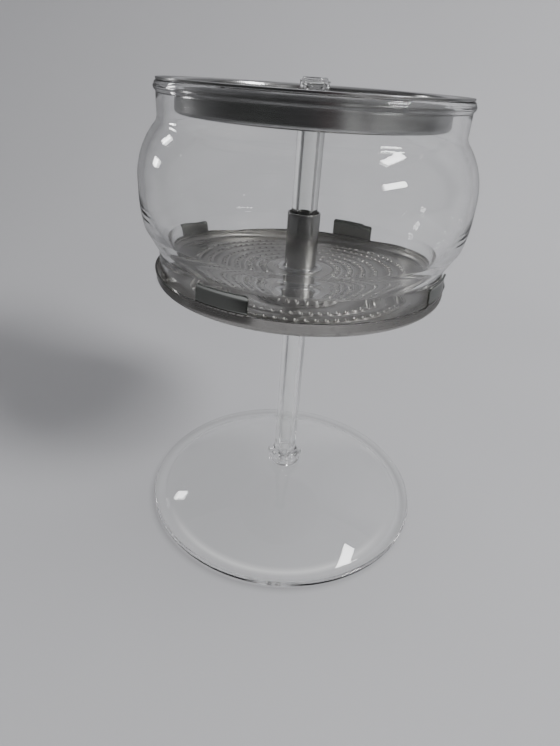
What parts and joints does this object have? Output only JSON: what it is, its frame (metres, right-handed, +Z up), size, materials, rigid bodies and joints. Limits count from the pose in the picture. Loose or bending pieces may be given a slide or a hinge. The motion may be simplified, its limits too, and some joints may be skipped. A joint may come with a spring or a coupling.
{
  "type": "coffee percolator insert",
  "caption": "Glass pump stem on a wide domed foot carrying a barrel-shaped glass coffee basket with a perforated metal base and spreader cover.",
  "frame": {"origin": "centre of the foot's ground ring, in the plane it rests on", "axes": "+Z up along the stem; -Y is the side that faces the viewer; +X to the viewer's right"},
  "size_m": [0.1216, 0.1216, 0.1741],
  "materials": {
    "clear_glass": "fire-polished, faint green edge",
    "basket_glass": "clear blown glass",
    "stamped_aluminium": "satin, water-stained",
    "drawn_aluminium": "bright drawn",
    "spun_aluminium": "circular brushed satin"
  },
  "bodies": {
    "pump": {"pump_tube": "clear_glass", "pump_foot": "clear_glass", "weld_knop": "clear_glass", "stem_rest": "clear_glass"},
    "basket": {"basket_base": "stamped_aluminium", "basket_sleeve": "drawn_aluminium"},
    "basket_wall": {"basket_glass": "basket_glass"},
    "cover": {"spreader_cover": "spun_aluminium"}
  },
  "joints": [
    {"name": "basket_lift", "type": "slide", "parent": "pump", "child": "basket", "axis": [0, 0, 1], "range_m": [0, 0.071]},
    {"name": "glass_lift", "type": "slide", "parent": "basket", "child": "basket_wall", "axis": [0, 0, 1], "range_m": [0, 0.069]},
    {"name": "cover_lift", "type": "slide", "parent": "basket_wall", "child": "cover", "axis": [0, 0, 1], "range_m": [0, 0.025]}
  ]
}
